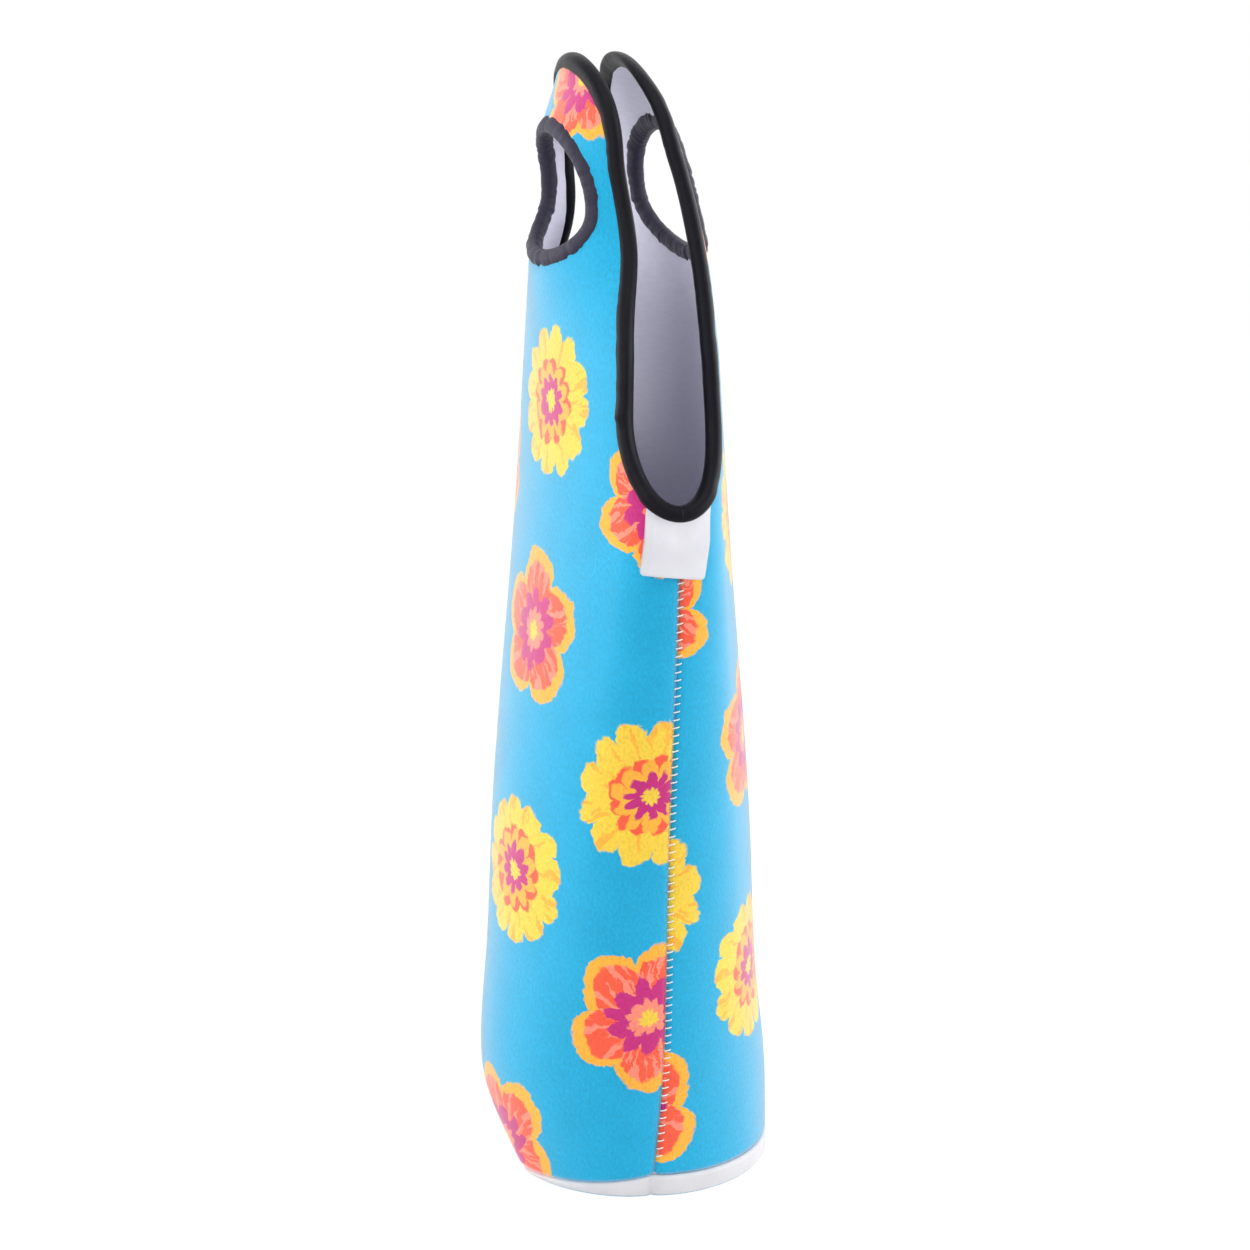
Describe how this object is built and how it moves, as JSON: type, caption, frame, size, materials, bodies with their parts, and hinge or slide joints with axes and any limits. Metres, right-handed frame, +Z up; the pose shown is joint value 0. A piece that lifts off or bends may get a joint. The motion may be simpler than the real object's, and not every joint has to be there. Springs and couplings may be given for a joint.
{
  "type": "bottle carrier",
  "caption": "Soft neoprene carrier for one bottle, with an oval base, a deep side notch and two tabs with bound hand holes",
  "frame": {"origin": "centre of the flat underside of the base", "axes": "+Z up, +X to the side seam with the label, -Y to the front panel"},
  "size_m": [0.1301, 0.0922, 0.361],
  "materials": {
    "printed_jersey": null,
    "neoprene_foam": "closed-cell foam, white",
    "lining_jersey": "fine knit jersey, pale grey, unprinted",
    "base_jersey": "fine knit jersey, white rim and printed underside",
    "binding_tape": "black elastic knit tape, slightly puckered",
    "seam_thread": "white polyester thread",
    "label_cloth": "white satin woven label, bare"
  },
  "bodies": {
    "bag": {"base_face_fabric": "base_jersey", "base_foam": "neoprene_foam", "base_lining": "lining_jersey", "front_panel_face_fabric": "printed_jersey", "front_panel_foam": "neoprene_foam", "front_panel_lining": "lining_jersey", "back_panel_face_fabric": "printed_jersey", "back_panel_foam": "neoprene_foam", "back_panel_lining": "lining_jersey", "near_notch_binding": "binding_tape", "far_notch_binding": "binding_tape", "near_seam_thread": "seam_thread", "far_seam_thread": "seam_thread"},
    "front_handle": {"front_handle_face_fabric": "printed_jersey", "front_handle_foam": "neoprene_foam", "front_handle_lining": "lining_jersey", "front_rim_binding": "binding_tape", "front_hole_binding": "binding_tape"},
    "back_handle": {"back_handle_face_fabric": "printed_jersey", "back_handle_foam": "neoprene_foam", "back_handle_lining": "lining_jersey", "back_rim_binding": "binding_tape", "back_hole_binding": "binding_tape"},
    "label": {"woven_label": "label_cloth"}
  },
  "joints": [
    {"name": "front_handle_flex", "type": "hinge", "parent": "bag", "child": "front_handle", "pos_m": [0, -0.02715, 0.272], "axis": [1, 0, 0], "range_deg": [0, 50], "stiffness_Nm_per_rad": 0.04},
    {"name": "back_handle_flex", "type": "hinge", "parent": "bag", "child": "back_handle", "pos_m": [0, 0.02715, 0.272], "axis": [-1, 0, 0], "range_deg": [0, 50], "stiffness_Nm_per_rad": 0.04},
    {"name": "label_flip", "type": "hinge", "parent": "bag", "child": "label", "pos_m": [0.065, 0, 0.2245], "axis": [0, -1, 0], "range_deg": [0, 150]}
  ]
}
